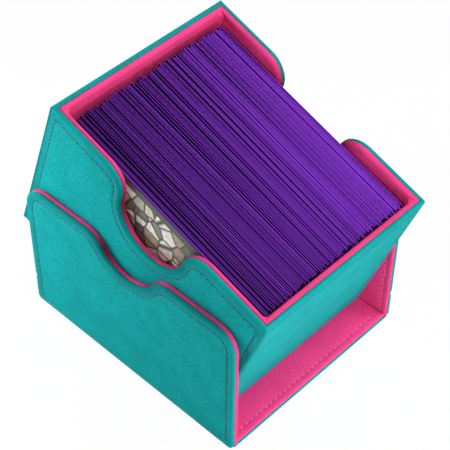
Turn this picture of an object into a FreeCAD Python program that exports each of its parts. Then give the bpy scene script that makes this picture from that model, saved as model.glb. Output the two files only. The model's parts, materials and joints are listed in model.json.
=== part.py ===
"""Deck box: a card tray that stands tilted in its U-shaped cover, filled with a deck of sleeved cards.

Every wall is a laminate of a wrapped skin, a stiff board that lies in the skin's pocket, and a soft lining.
The cards set the tray's size, and the tray sets the cover's.
Frame: +Z up, origin at the centre of the cover's underside, front towards -Y. Millimetres.
"""
import FreeCAD
import Part
import Sketcher

import math
import os

SIZES = {
    # Sleeved cards, standing on their long sides in a row along X.
    "card_length": 91.5,
    "card_height": 65.0,
    "card_thickness": 0.58,
    "card_pitch": 0.71,
    "card_count": 100,
    # Air round the deck in the tray.
    "deck_end_gap": 2.0,
    "deck_side_gap": 1.1,
    "deck_clearance": 0.2,
    "head_room": 4.4,
    # Tray: four walls and a floor, open on top, with a thumb notch in each long wall.
    "tray_skin": 1.5,
    "tray_lining": 2.1,
    "tray_floor_lining": 1.3,
    "tray_notch_depth": 25.0,
    # The tray rocks on the rounded lower edge of its front wall, this far behind the cover's front.
    "tray_edge_radius": 1.0,
    "tilt_angle": 19.0,
    "pivot_inset": 13.5,
    # Cover: a base and two notched side panels, open at the front, at the back and on top.
    "cover_height": 60.5,
    "cover_skin": 1.4,
    "cover_lining": 1.6,
    "cover_notch_depth": 11.3,
    "cover_corner_radius": 9.3,
    # Lower corners of the side panels' skins.
    "foot_radius": 2.0,
    # Both kinds of notch are a round thumb cut between two round shoulders.
    "thumb_radius": 15.0,
    "shoulder_radius": 10.0,
    # Fit of the tray in the cover.
    "side_clearance": 0.3,
    "rest_clearance": 0.3,
    "end_margin": 0.15,
    # Laminate: sheet thickness of a skin, width of its wrapped edge, air round a board.
    "skin_sheet": 0.5,
    "wrapped_edge": 1.6,
    "board_clearance": 0.1,
    # Disc magnets in the boards of the cover's side panels and of the tray's long walls.
    "magnet_radius": 4.0,
    "magnet_clearance": 0.05,
    "magnet_height": 14.0,
    "magnet_inset": 9.0,
}


class Size:
    """A length that carries its value and the expression that binds it to the sheet."""

    def __init__(self, value, text):
        self.value = value
        self.text = text

    def __add__(self, other):
        other = as_size(other)
        return Size(self.value + other.value, f"({self.text} + {other.text})")

    def __sub__(self, other):
        other = as_size(other)
        return Size(self.value - other.value, f"({self.text} - {other.text})")

    def __mul__(self, other):
        other = as_size(other)
        return Size(self.value * other.value, f"({self.text} * {other.text})")

    def __truediv__(self, other):
        other = as_size(other)
        return Size(self.value / other.value, f"({self.text} / {other.text})")

    def __neg__(self):
        return as_size(0) - self


def as_size(number):
    return number if isinstance(number, Size) else Size(float(number), str(float(number)))


def sheet_size(name):
    return Size(float(SIZES[name]), f"Sizes.{name}")


def square_root(size):
    return Size(math.sqrt(size.value), f"sqrt({size.text})")


def cosine(angle):
    return Size(math.cos(math.radians(angle.value)), f"cos({angle.text} * 1 deg)")


def sine(angle):
    return Size(math.sin(math.radians(angle.value)), f"sin({angle.text} * 1 deg)")


doc = FreeCAD.newDocument("deck_box")
sheet = doc.addObject("Spreadsheet::Sheet", "Sizes")
for row, (size_name, size_value) in enumerate(SIZES.items(), start=1):
    sheet.set(f"A{row}", size_name)
    sheet.set(f"B{row}", str(size_value))
    sheet.setAlias(f"B{row}", size_name)
doc.recompute()

ZERO = as_size(0)
CARD_PITCH = sheet_size("card_pitch")
CARD_COUNT = sheet_size("card_count")
CARD_THICKNESS = sheet_size("card_thickness")
TRAY_SKIN = sheet_size("tray_skin")
TRAY_LINING = sheet_size("tray_lining")
EDGE_RADIUS = sheet_size("tray_edge_radius")
TILT = sheet_size("tilt_angle")
COVER_HEIGHT = sheet_size("cover_height")
COVER_SKIN = sheet_size("cover_skin")
COVER_LINING = sheet_size("cover_lining")
THUMB = sheet_size("thumb_radius")
SHOULDER = sheet_size("shoulder_radius")
SHEET = sheet_size("skin_sheet")
WRAP = sheet_size("wrapped_edge")
BOARD_CLEARANCE = sheet_size("board_clearance")
MAGNET_RADIUS = sheet_size("magnet_radius")
MAGNET_HEIGHT = sheet_size("magnet_height")

# The deck, from its middle to its sides and ends, and up from the tray's underside.
DECK_SIDE = CARD_COUNT * CARD_PITCH / 2
DECK_END = sheet_size("card_length") / 2
TRAY_FLOOR_TOP = TRAY_SKIN + sheet_size("tray_floor_lining")
DECK_BOTTOM = TRAY_FLOOR_TOP + sheet_size("deck_clearance")
DECK_TOP = DECK_BOTTOM + sheet_size("card_height")

# The tray, from the deck outwards: inner faces, faces between lining and skin, outer faces.
TRAY_INSIDE = DECK_SIDE + sheet_size("deck_side_gap")
TRAY_INSIDE_END = DECK_END + sheet_size("deck_end_gap")
TRAY_SEAM = TRAY_INSIDE + TRAY_LINING
TRAY_SEAM_END = TRAY_INSIDE_END + TRAY_LINING
TRAY_SIDE = TRAY_SEAM + TRAY_SKIN
TRAY_END = TRAY_SEAM_END + TRAY_SKIN
TRAY_TOP = DECK_TOP + sheet_size("head_room")
TRAY_NOTCH = sheet_size("tray_notch_depth")

# The cover, from the tray outwards.
COVER_INSIDE = TRAY_SIDE + sheet_size("side_clearance")
COVER_SEAM = COVER_INSIDE + COVER_LINING
COVER_SIDE = COVER_SEAM + COVER_SKIN
COVER_END = TRAY_END + sheet_size("end_margin")
COVER_FLOOR_TOP = COVER_SKIN + COVER_LINING
COVER_NOTCH = sheet_size("cover_notch_depth")

# The tray's rocking edge in the cover's frame, and from it the tray's own origin under its floor.
PIVOT_Y = sheet_size("pivot_inset") - COVER_END
PIVOT_Z = COVER_FLOOR_TOP + sheet_size("rest_clearance") + EDGE_RADIUS
TRAY_Y = PIVOT_Y + (TRAY_END - EDGE_RADIUS) * cosine(TILT) + EDGE_RADIUS * sine(TILT)
TRAY_Z = PIVOT_Z + (TRAY_END - EDGE_RADIUS) * sine(TILT) - EDGE_RADIUS * cosine(TILT)

# How far a cut runs past the face that it opens.
PAST = as_size(1)

sub_parts = []


def origin_feature(body, role):
    return next(feature for feature in body.Origin.OriginFeatures if feature.Role == role)


def new_sketch(body, role, offset):
    """Sketch on one of the body's own origin planes, moved along its normal."""
    sketch = body.newObject("Sketcher::SketchObject", f"{body.Name}_sketch")
    sketch.AttachmentSupport = [(origin_feature(body, role), "")]
    sketch.MapMode = "FlatFace"
    sketch.setExpression("AttachmentOffset.Base.z", offset.text)
    return sketch


def bind_coordinate(sketch, geometry, point, kind, axis, size):
    """Fix one coordinate of a sketch point by an expression, measured from the sketch's origin."""
    if abs(size.value) < 1e-9:
        sketch.addConstraint(Sketcher.Constraint("PointOnObject", geometry, point, axis))
        return
    positive = size.value > 0
    ends = (-1, 1, geometry, point) if positive else (geometry, point, -1, 1)
    index = sketch.addConstraint(Sketcher.Constraint(kind, *ends, abs(size.value)))
    sketch.setExpression(f"Constraints[{index}]", size.text if positive else f"-{size.text}")


def bind_point(sketch, geometry, point, place):
    horizontal_axis, vertical_axis = -1, -2
    bind_coordinate(sketch, geometry, point, "DistanceX", vertical_axis, place[0])
    bind_coordinate(sketch, geometry, point, "DistanceY", horizontal_axis, place[1])


def bind_radius(sketch, geometry, radius):
    index = sketch.addConstraint(Sketcher.Constraint("Radius", geometry, radius.value))
    sketch.setExpression(f"Constraints[{index}]", radius.text)


def arc_between(start, end, radius, turn):
    """Arc of under a half circle from start to end; turn is 1 for a left bend and -1 for a right one."""
    chord = end - start
    left = FreeCAD.Vector(-chord.y, chord.x, 0).normalize()
    rise = math.sqrt(max(radius**2 - (chord.Length / 2) ** 2, 0))
    centre = start + chord * 0.5 + left * (turn * rise)
    first, last = (start, end) if turn > 0 else (end, start)
    angles = [math.atan2(point.y - centre.y, point.x - centre.x) for point in (first, last)]
    return Part.ArcOfCircle(Part.Circle(centre, FreeCAD.Vector(0, 0, 1), radius), *angles)


def draw_outline(sketch, outline):
    """Closed outline of (place, bend) pairs; bend is None or the (radius, turn) of the stretch after it."""
    base = sketch.GeometryCount
    count = len(outline)
    points = [FreeCAD.Vector(place[0].value, place[1].value, 0) for place, bend in outline]
    starts = []
    for index, (place, bend) in enumerate(outline):
        following = points[(index + 1) % count]
        if bend is None:
            sketch.addGeometry(Part.LineSegment(points[index], following))
            starts.append(1)
        else:
            radius, turn = bend
            sketch.addGeometry(arc_between(points[index], following, radius.value, turn))
            starts.append(1 if turn > 0 else 2)
    for index, (place, bend) in enumerate(outline):
        following = (index + 1) % count
        end = 3 - starts[index]
        sketch.addConstraint(
            Sketcher.Constraint("Coincident", base + index, end, base + following, starts[following])
        )
        bind_point(sketch, base + index, starts[index], place)
        if bend is not None:
            bind_radius(sketch, base + index, bend[0])


def draw_discs(sketch, centres, radius):
    for index, centre in enumerate(centres):
        place = FreeCAD.Vector(centre[0].value, centre[1].value, 0)
        sketch.addGeometry(Part.Circle(place, FreeCAD.Vector(0, 0, 1), radius.value))
        bind_point(sketch, index, 3, centre)
        bind_radius(sketch, index, radius)


def rectangle(low, high):
    """Plain outline between two opposite corners."""
    corners = [low, (high[0], low[1]), high, (low[0], high[1])]
    return [(corner, None) for corner in corners]


def mirrored(half):
    """The other half of an outline, run backwards on the far side of the vertical axis."""
    other = []
    for index in range(len(half) - 1, -1, -1):
        place, bend = half[index]
        bend_before = half[index - 1][1] if index > 0 else None
        other.append(((-place[0], place[1]), bend_before))
    return other


def notched_panel(end, bottom, top, depth, inset=ZERO, corner_radius=None, foot_radius=None):
    """Outline in Y and Z of an upright panel with a thumb notch; inset draws it smaller all round."""
    reach = THUMB + SHOULDER
    thumb = THUMB + inset
    shoulder_y = square_root(depth * (reach * 2 - depth))
    thumb_z = top - depth + THUMB
    tangent_share = thumb / reach
    side = end - inset
    rim = top - inset
    low = bottom + inset
    right = []
    if foot_radius is None:
        right.append(((side, low), None))
    else:
        right.append(((side - foot_radius, low), (foot_radius, 1)))
        right.append(((side, low + foot_radius), None))
    if corner_radius is None:
        right.append(((side, rim), None))
    else:
        corner = corner_radius - inset
        right.append(((side, rim - corner), (corner, 1)))
        right.append(((side - corner, rim), None))
    right.append(((shoulder_y, rim), (SHOULDER - inset, 1)))
    right.append(((shoulder_y * tangent_share, thumb_z + (depth - reach) * tangent_share), (thumb, -1)))
    middle = ((ZERO, thumb_z - thumb), (thumb, -1))
    return right + [middle] + mirrored(right)


def end_wall_section(sign, inner, outer):
    """Section in Y and Z of an end wall's skin, with its lower outer edge rounded."""
    flat = [
        ((inner, ZERO), None),
        ((outer - EDGE_RADIUS, ZERO), (EDGE_RADIUS, 1)),
        ((outer, EDGE_RADIUS), None),
        ((outer, TRAY_TOP), None),
        ((inner, TRAY_TOP), None),
    ]
    return flat if sign > 0 else mirrored(flat)


def new_body(label):
    body = doc.addObject("PartDesign::Body", label)
    body.Label = label
    sub_parts.append(body)
    return body


def pad(body, sketch, length):
    feature = body.newObject("PartDesign::Pad", f"{body.Name}_pad")
    feature.Profile = sketch
    feature.setExpression("Length", length.text)
    doc.recompute()
    return feature


def pocket(body, sketch, length):
    """Cut from the sketch against its normal, and make sure that this took something away."""
    before = body.Shape.Volume
    feature = body.newObject("PartDesign::Pocket", f"{body.Name}_pocket")
    feature.Profile = sketch
    feature.setExpression("Length", length.text)
    doc.recompute()
    if not body.Shape.Volume < before:
        raise RuntimeError(f"{feature.Name} cuts nothing")


def panel(label, outline, low_x, high_x):
    """Body with an outline in Y and Z that reaches from low_x to high_x."""
    body = new_body(label)
    sketch = new_sketch(body, "YZ_Plane", low_x)
    draw_outline(sketch, outline)
    pad(body, sketch, high_x - low_x)
    return body


def cut_panel(body, outline, low_x, high_x):
    sketch = new_sketch(body, "YZ_Plane", high_x)
    draw_outline(sketch, outline)
    pocket(body, sketch, high_x - low_x)


def cut_discs(body, centres, radius, low_x, high_x):
    sketch = new_sketch(body, "YZ_Plane", high_x)
    draw_discs(sketch, centres, radius)
    pocket(body, sketch, high_x - low_x)


def discs(label, centres, radius, low_x, high_x):
    """Body of separate round discs whose axes lie along X."""
    body = new_body(label)
    body.AllowCompound = True
    sketch = new_sketch(body, "YZ_Plane", low_x)
    draw_discs(sketch, centres, radius)
    pad(body, sketch, high_x - low_x)
    return body


def span(sign, inner, outer):
    """X range of a layer between two distances from the middle, on the side that sign names."""
    return (inner, outer) if sign > 0 else (-outer, -inner)


def mitre(body, side, end, sign, long_wall):
    """Cut a wall's two upright ends along the diagonals through the corners of its outer rectangle."""
    reach = TRAY_SKIN + TRAY_LINING
    sketch = new_sketch(body, "XY_Plane", TRAY_TOP + PAST)
    for other in (1, -1):
        toward_x, toward_y = (sign, other) if long_wall else (other, sign)
        outer = (side * toward_x + reach * toward_x, end * toward_y + reach * toward_y)
        inner = (side * toward_x - reach * toward_x, end * toward_y - reach * toward_y)
        third = (inner[0], outer[1]) if long_wall else (outer[0], inner[1])
        draw_outline(sketch, [(outer, None), (inner, None), (third, None)])
    pocket(body, sketch, TRAY_TOP + PAST * 2)


def side_board(label, sign, seam, skin, outline):
    """Board of an upright side, from the lining's face to just short of the skin's sheet."""
    return panel(label, outline, *span(sign, seam, seam + skin - SHEET - BOARD_CLEARANCE))


def magnets_in(label, board, sign, seam, skin, centres):
    """Discs in round holes through a board."""
    low_x, high_x = span(sign, seam, seam + skin - SHEET - BOARD_CLEARANCE)
    cut_discs(board, centres, MAGNET_RADIUS + sheet_size("magnet_clearance"), low_x - PAST, high_x + PAST)
    return discs(label, centres, MAGNET_RADIUS, low_x, high_x)


def both_ends(distance, height):
    return [(distance, height), (-distance, height)]


def build_cover_side(name, sign):
    """One notched side panel of the cover: skin, board, magnets and lining."""
    corner = sheet_size("cover_corner_radius")
    shape = {"top": COVER_HEIGHT, "depth": COVER_NOTCH, "corner_radius": corner}
    outer = notched_panel(COVER_END, ZERO, foot_radius=sheet_size("foot_radius"), **shape)
    hollow = notched_panel(COVER_END, ZERO, inset=WRAP, **shape)
    core = notched_panel(COVER_END, ZERO, inset=WRAP + BOARD_CLEARANCE, **shape)
    lining = notched_panel(COVER_END, COVER_SKIN, **shape)
    skin = panel(f"cover_{name}_skin", outer, *span(sign, COVER_SEAM, COVER_SIDE))
    cut_panel(skin, hollow, *span(sign, COVER_SEAM - PAST, COVER_SIDE - SHEET))
    board = side_board(f"cover_{name}_board", sign, COVER_SEAM, COVER_SKIN, core)
    places = both_ends(COVER_END - sheet_size("magnet_inset"), MAGNET_HEIGHT)
    magnets_in(f"cover_{name}_magnets", board, sign, COVER_SEAM, COVER_SKIN, places)
    panel(f"cover_{name}_lining", lining, *span(sign, COVER_INSIDE, COVER_SEAM))


def build_tray_side(name, sign):
    """One notched long wall of the tray; its magnets meet the cover's when the cover is on top."""
    shape = {"top": TRAY_TOP, "depth": TRAY_NOTCH}
    skin = panel(
        f"tray_{name}_skin", notched_panel(TRAY_END, ZERO, **shape), *span(sign, TRAY_SEAM, TRAY_SIDE)
    )
    mitre(skin, TRAY_SIDE, TRAY_END, sign, long_wall=True)
    hollow = notched_panel(TRAY_SEAM_END, ZERO, inset=WRAP, **shape)
    cut_panel(skin, hollow, *span(sign, TRAY_SEAM - PAST, TRAY_SIDE - SHEET))
    core = notched_panel(TRAY_SEAM_END, ZERO, inset=WRAP + BOARD_CLEARANCE, **shape)
    board = side_board(f"tray_{name}_board", sign, TRAY_SEAM, TRAY_SKIN, core)
    height = TRAY_TOP - (MAGNET_HEIGHT - COVER_FLOOR_TOP - sheet_size("rest_clearance"))
    places = both_ends(COVER_END - sheet_size("magnet_inset"), height)
    magnets_in(f"tray_{name}_magnets", board, sign, TRAY_SEAM, TRAY_SKIN, places)
    lining = panel(
        f"tray_{name}_lining",
        notched_panel(TRAY_SEAM_END, TRAY_SKIN, **shape),
        *span(sign, TRAY_INSIDE, TRAY_SEAM),
    )
    mitre(lining, TRAY_SEAM, TRAY_SEAM_END, sign, long_wall=True)


def build_tray_end(name, sign):
    """One plain end wall of the tray: skin, board and lining."""
    skin = panel(f"tray_{name}_skin", end_wall_section(sign, TRAY_SEAM_END, TRAY_END), -TRAY_SIDE, TRAY_SIDE)
    mitre(skin, TRAY_SIDE, TRAY_END, sign, long_wall=False)
    near, far = span(sign, TRAY_SEAM_END - PAST, TRAY_END - SHEET)
    wide = TRAY_SEAM - WRAP
    cut_panel(skin, rectangle((near, WRAP), (far, TRAY_TOP - WRAP)), -wide, wide)
    near, far = span(sign, TRAY_SEAM_END, TRAY_END - SHEET - BOARD_CLEARANCE)
    edge = WRAP + BOARD_CLEARANCE
    wide = TRAY_SEAM - edge
    panel(f"tray_{name}_board", rectangle((near, edge), (far, TRAY_TOP - edge)), -wide, wide)
    near, far = span(sign, TRAY_INSIDE_END, TRAY_SEAM_END)
    lining = panel(
        f"tray_{name}_lining", rectangle((near, TRAY_SKIN), (far, TRAY_TOP)), -TRAY_SEAM, TRAY_SEAM
    )
    mitre(lining, TRAY_SEAM, TRAY_SEAM_END, sign, long_wall=False)


def build_floor(owner, skin_side, end, skin_height, lining_side, lining_end, lining_top):
    """A level skin with its board in a pocket on top, and the lining over both."""
    skin = panel(
        f"{owner}_skin", rectangle((-end, ZERO), (end, skin_height)), -skin_side, skin_side
    )
    long, wide = end - WRAP, skin_side - WRAP
    cut_panel(skin, rectangle((-long, SHEET), (long, skin_height + PAST)), -wide, wide)
    long, wide = long - BOARD_CLEARANCE, wide - BOARD_CLEARANCE
    low = SHEET + BOARD_CLEARANCE
    panel(f"{owner}_board", rectangle((-long, low), (long, skin_height)), -wide, wide)
    panel(
        f"{owner}_lining",
        rectangle((-lining_end, skin_height), (lining_end, lining_top)),
        -lining_side,
        lining_side,
    )


def build_cover():
    for name, sign in (("left", -1), ("right", 1)):
        build_cover_side(name, sign)
    build_floor(
        "cover_base", COVER_SEAM, COVER_END, COVER_SKIN, COVER_INSIDE, COVER_END, COVER_FLOOR_TOP
    )


def build_tray():
    for name, sign in (("left", -1), ("right", 1)):
        build_tray_side(name, sign)
    for name, sign in (("front", -1), ("back", 1)):
        build_tray_end(name, sign)
    build_floor(
        "tray_floor", TRAY_SEAM, TRAY_SEAM_END, TRAY_SKIN, TRAY_INSIDE, TRAY_INSIDE_END, TRAY_FLOOR_TOP
    )


def build_deck():
    """The front card at the left wall, and the row of the others behind it."""
    card = rectangle((-DECK_END, DECK_BOTTOM), (DECK_END, DECK_TOP))
    panel("front_card", card, -DECK_SIDE, CARD_THICKNESS - DECK_SIDE)
    second = CARD_PITCH - DECK_SIDE
    body = panel("sleeved_cards", card, second, second + CARD_THICKNESS)
    body.AllowCompound = True
    row = body.newObject("PartDesign::LinearPattern", "card_row")
    row.Originals = [body.Tip]
    row.Direction = (origin_feature(body, "X_Axis"), [""])
    row.Mode = "Spacing"
    row.setExpression("Offset", CARD_PITCH.text)
    row.setExpression("Occurrences", (CARD_COUNT - 1).text)
    body.Tip = row
    doc.recompute()


def tilt(bodies):
    """Bodies drawn level in the tray's own frame, turned about the rocking edge to where they stand."""
    turn = FreeCAD.Rotation(FreeCAD.Vector(1, 0, 0), TILT.value)
    for body in bodies:
        body.Placement = FreeCAD.Placement(FreeCAD.Vector(0, TRAY_Y.value, TRAY_Z.value), turn)
        body.setExpression("Placement.Base.y", TRAY_Y.text)
        body.setExpression("Placement.Base.z", TRAY_Z.text)
        body.setExpression("Placement.Rotation.Angle", f"{TILT.text} * 1 deg")
    doc.recompute()


def check():
    """Stop on any failed object or bad shape before a file is written."""
    for item in doc.Objects:
        if {"Invalid", "Error"} & set(item.State):
            raise RuntimeError(f"{item.Name} failed: {item.State}")
    for body in sub_parts:
        if body.Shape.isNull() or not body.Shape.isValid():
            raise RuntimeError(f"{body.Label} has no valid shape")


build_cover()
standing = list(sub_parts)
build_tray()
build_deck()
tilt([body for body in sub_parts if body not in standing])
check()

os.makedirs("parts", exist_ok=True)
for sub_part in sub_parts:
    sub_part.Shape.exportStep(f"parts/{sub_part.Label}.step")
    print(f"{sub_part.Label}: {len(sub_part.Shape.Solids)} solids, {sub_part.Shape.Volume / 1000:.2f} cm3")
print(f"tray's origin: Y {TRAY_Y.value:.3f}, Z {TRAY_Z.value:.3f}")
print(f"tray's rocking edge: Y {PIVOT_Y.value:.3f}, Z {PIVOT_Z.value:.3f}")
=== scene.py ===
# %% [markdown]
# # A deck box whose card tray stands tilted in its cover
# The box is a laminate: every wall is a stiff board with a teal microfibre skin outside and a soft pink
# lining inside, sewn together along the edges. A deck of purple card sleeves fills the tray.
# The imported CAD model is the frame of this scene. It gives every size and place, and the lesson builds the
# soft, sewn surfaces round it. Everything is in metres.

import json
import math
import random

import bmesh
import bpy
from mathutils import Matrix, Quaternion, Vector


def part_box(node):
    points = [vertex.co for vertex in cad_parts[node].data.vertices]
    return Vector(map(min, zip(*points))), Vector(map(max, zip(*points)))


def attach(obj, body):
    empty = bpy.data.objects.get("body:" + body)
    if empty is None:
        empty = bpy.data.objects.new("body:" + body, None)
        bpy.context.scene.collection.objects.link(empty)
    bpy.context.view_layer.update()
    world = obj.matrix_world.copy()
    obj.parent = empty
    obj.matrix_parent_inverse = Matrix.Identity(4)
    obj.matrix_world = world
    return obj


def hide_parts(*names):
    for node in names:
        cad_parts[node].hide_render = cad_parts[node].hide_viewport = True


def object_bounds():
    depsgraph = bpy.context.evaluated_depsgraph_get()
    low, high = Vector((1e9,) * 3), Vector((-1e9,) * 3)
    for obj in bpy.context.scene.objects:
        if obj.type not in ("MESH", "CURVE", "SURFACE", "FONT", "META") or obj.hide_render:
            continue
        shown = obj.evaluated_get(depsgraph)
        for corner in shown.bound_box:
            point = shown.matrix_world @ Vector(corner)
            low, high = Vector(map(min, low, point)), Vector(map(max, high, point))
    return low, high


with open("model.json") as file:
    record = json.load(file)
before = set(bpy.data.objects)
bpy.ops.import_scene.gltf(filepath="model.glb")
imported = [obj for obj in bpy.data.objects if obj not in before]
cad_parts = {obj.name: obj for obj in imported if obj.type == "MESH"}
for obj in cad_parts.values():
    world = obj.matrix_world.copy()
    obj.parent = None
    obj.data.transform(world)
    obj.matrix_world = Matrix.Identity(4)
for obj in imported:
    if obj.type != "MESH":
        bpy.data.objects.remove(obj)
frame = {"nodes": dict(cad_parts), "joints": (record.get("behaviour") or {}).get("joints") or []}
cad_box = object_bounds()
MM = 0.001
X_AXIS = (1, 0, 0)
print("CAD box in mm:", [[round(value / MM, 1) for value in corner] for corner in cad_box])

# %% [markdown]
# The tray stands tilted, which makes its walls awkward to measure. Its hinge says where it rocks and how far,
# so the tray can be turned back level, drawn there with plain upright outlines, and tilted again at the end.
# Working in a turned copy of the frame is simpler than drawing on slanted planes.

# %% The tray's level frame
tilt_joint = next(joint for joint in frame["joints"] if joint["name"] == "tray_tilt")
PIVOT = Vector(tilt_joint["pos_m"])
TILT = -math.radians(tilt_joint["range_deg"][0])
TO_LEVEL = Matrix.Translation(PIVOT) @ Matrix.Rotation(-TILT, 4, "X") @ Matrix.Translation(-PIVOT)
FROM_LEVEL = TO_LEVEL.inverted()


def level_box(node):
    """Lowest and highest corner of a tray or deck node, with the tray turned back level."""
    points = [TO_LEVEL @ vertex.co for vertex in frame["nodes"][node].data.vertices]
    low = Vector([min(point[axis] for point in points) for axis in range(3)])
    high = Vector([max(point[axis] for point in points) for axis in range(3)])
    return low, high


print(f"tray tilts by {math.degrees(TILT):.1f} degrees")
print(f"its pivot lies at Y {PIVOT.y / MM:.1f} mm, Z {PIVOT.z / MM:.1f} mm")

# %% [markdown]
# ## Camera
# The picture is taken from above the near left corner, with a long lens that keeps the edges almost parallel.
# A camera can be turned with angles, but aiming it at a point and adding a small roll is easier to read.

# %% Camera
CAMERA_PLACE = Vector((-0.2553, -0.2474, 0.4131))
CAMERA_AIM = Vector((-0.0008, -0.0067, 0.05))
CAMERA_ROLL = math.radians(0.62)
FOCAL_PIXELS = 1415.3
IMAGE_PIXELS = 450


def add_object(name, data):
    """New object in the scene."""
    made = bpy.data.objects.new(name, data)
    bpy.context.scene.collection.objects.link(made)
    return made


camera_data = bpy.data.cameras.new("camera")
camera_data.lens = FOCAL_PIXELS / IMAGE_PIXELS * camera_data.sensor_width
camera = add_object("camera", camera_data)
camera.rotation_mode = "QUATERNION"
camera.location = CAMERA_PLACE
aim = (CAMERA_AIM - CAMERA_PLACE).to_track_quat("-Z", "Y")
camera.rotation_quaternion = aim @ Quaternion((0, 0, 1), CAMERA_ROLL)
bpy.context.scene.camera = camera
print(f"camera {(CAMERA_AIM - CAMERA_PLACE).length:.3f} m away with a {camera_data.lens:.0f} mm lens")

# %% [markdown]
# ## Nodes
# Every finish below is a small tree of shader nodes. Helpers keep the trees short: one adds a node and sets
# its sockets, one links an output to an input, and the others make the few kinds of node that come back in
# every finish. Patterns read Object coordinates, which are plain metres here, so a noise of scale 2000 has
# features of half a millimetre on every piece.

# %% Node helpers
NOISE_RANGE = (0.3, 0.7)


def add_node(tree, kind, sockets=None, **settings):
    """New node with its settings, and with its named input sockets set to plain values."""
    made = tree.nodes.new(kind)
    for setting, value in settings.items():
        setattr(made, setting, value)
    for socket, value in (sockets or {}).items():
        made.inputs[socket].default_value = value
    return made


def link(tree, output, target):
    """Link an output to an input socket."""
    tree.links.new(output, target)


def empty_tree(owner):
    """Node tree of a material or a world, with nothing in it."""
    owner.use_nodes = True
    owner.node_tree.nodes.clear()
    return owner.node_tree


def new_material(name, sockets=None):
    """Material with its output and a Principled shader, whose plain sockets are set."""
    material = bpy.data.materials.new(name)
    tree = empty_tree(material)
    shader = add_node(tree, "ShaderNodeBsdfPrincipled", sockets)
    output = add_node(tree, "ShaderNodeOutputMaterial")
    link(tree, shader.outputs["BSDF"], output.inputs["Surface"])
    return material, tree, shader


def noise(tree, per_metre, detail=2.0, roughness=0.5):
    """Noise on Object coordinates."""
    places = add_node(tree, "ShaderNodeTexCoord")
    sockets = {"Scale": per_metre, "Detail": detail, "Roughness": roughness}
    made = add_node(tree, "ShaderNodeTexNoise", sockets)
    link(tree, places.outputs["Object"], made.inputs["Vector"])
    return made.outputs["Fac"]


def ramp(tree, factor, stops):
    """Colour ramp through (position, colour) stops."""
    made = add_node(tree, "ShaderNodeValToRGB")
    elements = made.color_ramp.elements
    while len(elements) < len(stops):
        elements.new(1.0)
    for element, (position, colour) in zip(elements, stops):
        element.position = position
        element.color = (*colour, 1.0)
    link(tree, factor, made.inputs["Fac"])
    return made.outputs["Color"]


def spread(tree, factor, low, high):
    """The middle of a noise's range, mapped to the range from low to high."""
    lowest, highest = NOISE_RANGE
    sockets = {"From Min": lowest, "From Max": highest, "To Min": low, "To Max": high}
    made = add_node(tree, "ShaderNodeMapRange", sockets)
    link(tree, factor, made.inputs["Value"])
    return made.outputs["Result"]


def brighten(tree, colour, amount):
    """Colour whose value is multiplied by a linked amount."""
    made = add_node(tree, "ShaderNodeHueSaturation")
    link(tree, amount, made.inputs["Value"])
    link(tree, colour, made.inputs["Color"])
    return made.outputs["Color"]


def mix_colour(tree, factor, first, second):
    """Mix of two colours, each linked or plain, by a linked factor."""
    made = add_node(tree, "ShaderNodeMixRGB")
    link(tree, factor, made.inputs["Fac"])
    for socket, colour in (("Color1", first), ("Color2", second)):
        if isinstance(colour, tuple):
            made.inputs[socket].default_value = (*colour, 1.0)
        else:
            link(tree, colour, made.inputs[socket])
    return made.outputs["Color"]


def calculate(tree, operation, first, second=None):
    """Math node on values that are linked or plain numbers."""
    made = add_node(tree, "ShaderNodeMath", operation=operation)
    for socket, value in zip(made.inputs, (first, second)):
        if isinstance(value, float):
            socket.default_value = value
        elif value is not None:
            link(tree, value, socket)
    return made.outputs[0]


def attribute(tree, name):
    """A number that the mesh itself holds at each vertex."""
    return add_node(tree, "ShaderNodeAttribute", attribute_name=name).outputs["Fac"]


def bump(tree, shader, height, depth, strength=1.0, onto=None):
    """Bump whose height is in metres of real depth; another bump may lie under it."""
    made = add_node(tree, "ShaderNodeBump", {"Distance": depth, "Strength": strength})
    link(tree, height, made.inputs["Height"])
    if onto is not None:
        link(tree, onto, made.inputs["Normal"])
    link(tree, made.outputs["Normal"], shader.inputs["Normal"])
    return made.outputs["Normal"]


# %% [markdown]
# ## Floor, world and lamps
# The box stands on a plain white table. The table's own colour is near white, and towards the camera most of
# its light is its own, so that the background is white and the box still leaves a soft shadow.
# Area lamps stand in for softboxes. Two strong ones stand high, in front and above on the right, and a
# third far to the right fills the shadows. A low one in front reaches the base under the tilted tray, and
# a small one close to the back left corner grazes the near walls.

# %% Floor and world
FLOOR_SIZE = 3.0
FLOOR_GLOW = 0.95
FLOOR_COLOUR = (0.8, 0.8, 0.8, 1.0)
WHITE = (1.0, 1.0, 1.0, 1.0)
AMBIENT = 0.06


def seen_directly(tree):
    """1 for rays from the camera and for mirrored or refracted ones, otherwise 0."""
    path = add_node(tree, "ShaderNodeLightPath").outputs
    seen_or_mirrored = calculate(tree, "MAXIMUM", path["Is Camera Ray"], path["Is Glossy Ray"])
    return calculate(tree, "MAXIMUM", seen_or_mirrored, path["Is Transmission Ray"])


def choose_light(tree, output_kind, factor, unseen, seen):
    """Surface output that mixes two shaders by a linked factor."""
    mixed = add_node(tree, "ShaderNodeMixShader")
    output = add_node(tree, output_kind)
    link(tree, factor, mixed.inputs[0])
    link(tree, unseen.outputs[0], mixed.inputs[1])
    link(tree, seen.outputs[0], mixed.inputs[2])
    link(tree, mixed.outputs[0], output.inputs["Surface"])


def floor_paint():
    """Matte paint that glows towards the camera and still takes a shadow."""
    material = bpy.data.materials.new("floor_paint")
    tree = empty_tree(material)
    matte = add_node(tree, "ShaderNodeBsdfDiffuse", {"Color": FLOOR_COLOUR})
    glow = add_node(tree, "ShaderNodeEmission", {"Color": WHITE, "Strength": 1.0})
    share = calculate(tree, "MULTIPLY", seen_directly(tree), FLOOR_GLOW)
    choose_light(tree, "ShaderNodeOutputMaterial", share, matte, glow)
    return material


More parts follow.
